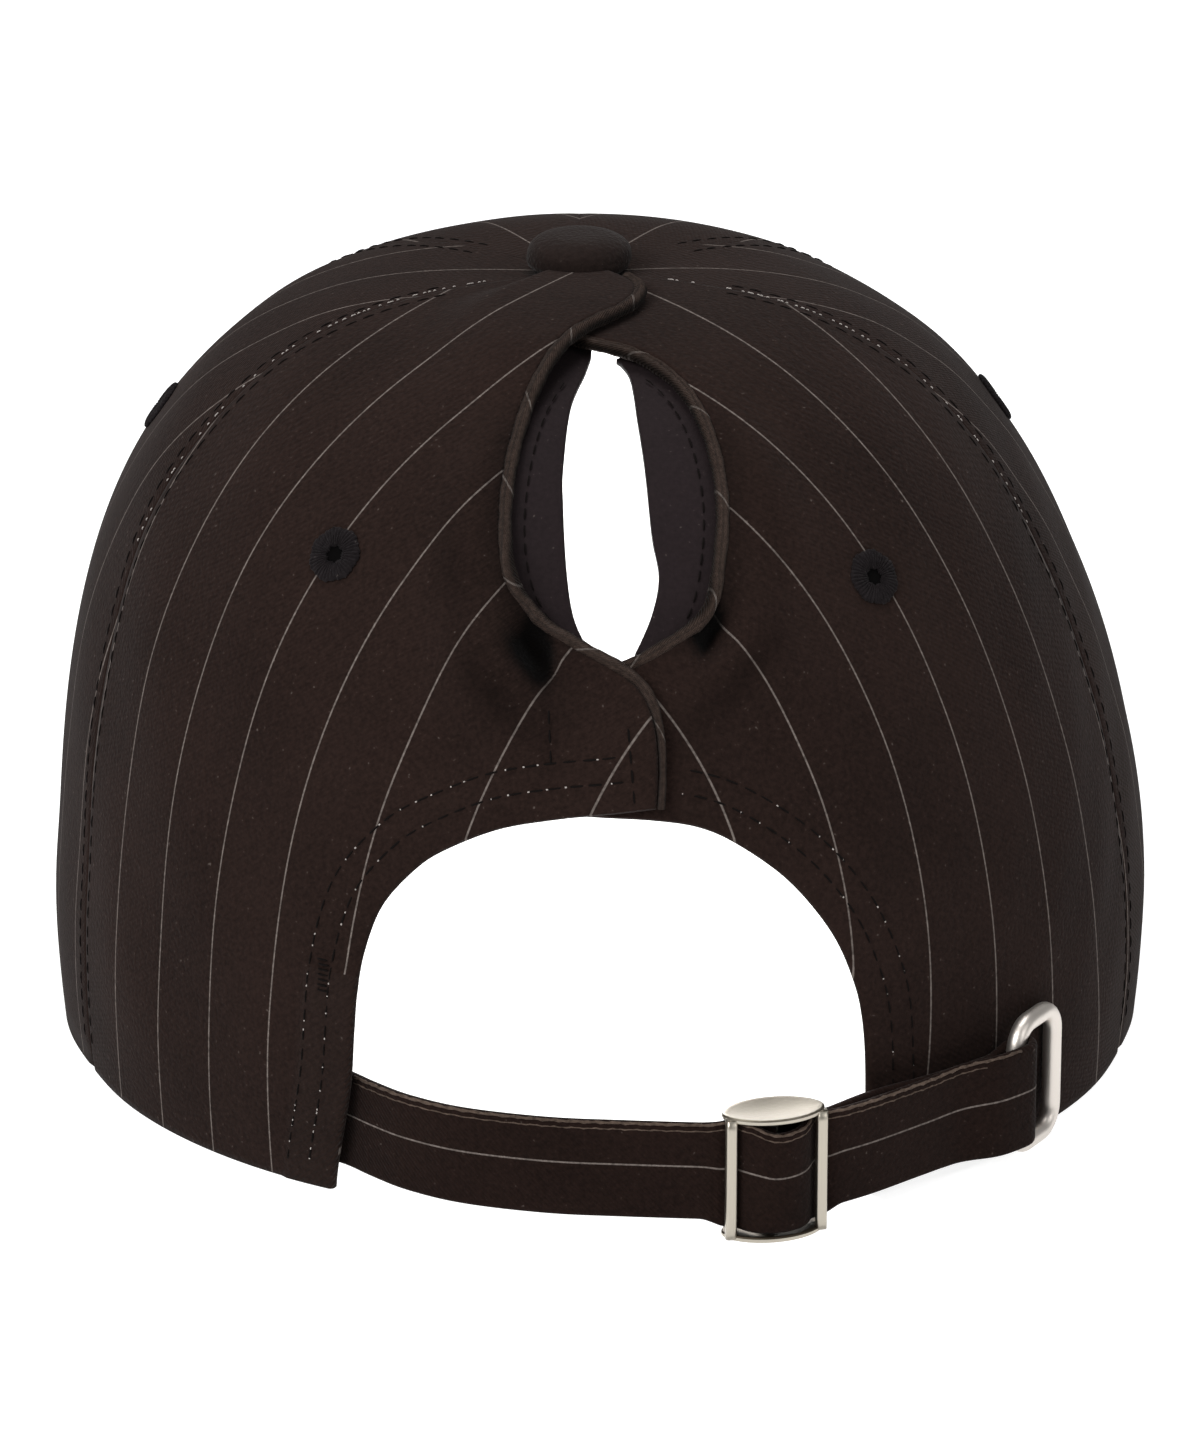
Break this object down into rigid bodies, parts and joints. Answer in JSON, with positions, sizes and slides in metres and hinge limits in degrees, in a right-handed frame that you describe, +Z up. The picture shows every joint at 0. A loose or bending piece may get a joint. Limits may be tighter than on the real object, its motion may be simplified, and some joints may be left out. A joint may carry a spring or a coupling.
{
  "type": "ponytail baseball cap",
  "caption": "Pinstriped cloth baseball cap with a bound ponytail slit and arch at the back, a strap with a metal slider and ring, a covered button and a curved peak",
  "frame": {"origin": "on the floor, under the middle of the whole cap", "axes": "+Z up, +Y towards the front of the peak, -Y the back with the slit and the strap, +X to the right seen from the back"},
  "size_m": [0.1718, 0.2678, 0.1248],
  "materials": {
    "pinstripe_twill": "dark charcoal cotton twill with thin light grey pinstripes",
    "button_cloth": "plain dark cloth, slightly napped",
    "piping": "brown-black twill bias binding, round piped edge",
    "facing_cloth": "smooth dark inner tape",
    "eyelet_thread": "satin-stitched black thread",
    "satin_nickel": "satin warm nickel"
  },
  "bodies": {
    "root": {"crown_back_left": "pinstripe_twill", "crown_back_right": "pinstripe_twill", "crown_side_left": "pinstripe_twill", "crown_side_right": "pinstripe_twill", "crown_front_left": "pinstripe_twill", "crown_front_right": "pinstripe_twill", "button": "button_cloth", "peak": "pinstripe_twill", "binding_left": "piping", "binding_right": "piping", "facing_left": "facing_cloth", "facing_right": "facing_cloth", "strap": "pinstripe_twill", "slider": "satin_nickel", "ring": "satin_nickel", "eyelet_back_left": "eyelet_thread", "eyelet_back_right": "eyelet_thread", "eyelet_side_left": "eyelet_thread", "eyelet_side_right": "eyelet_thread", "eyelet_front_left": "eyelet_thread", "eyelet_front_right": "eyelet_thread"}
  },
  "joints": []
}
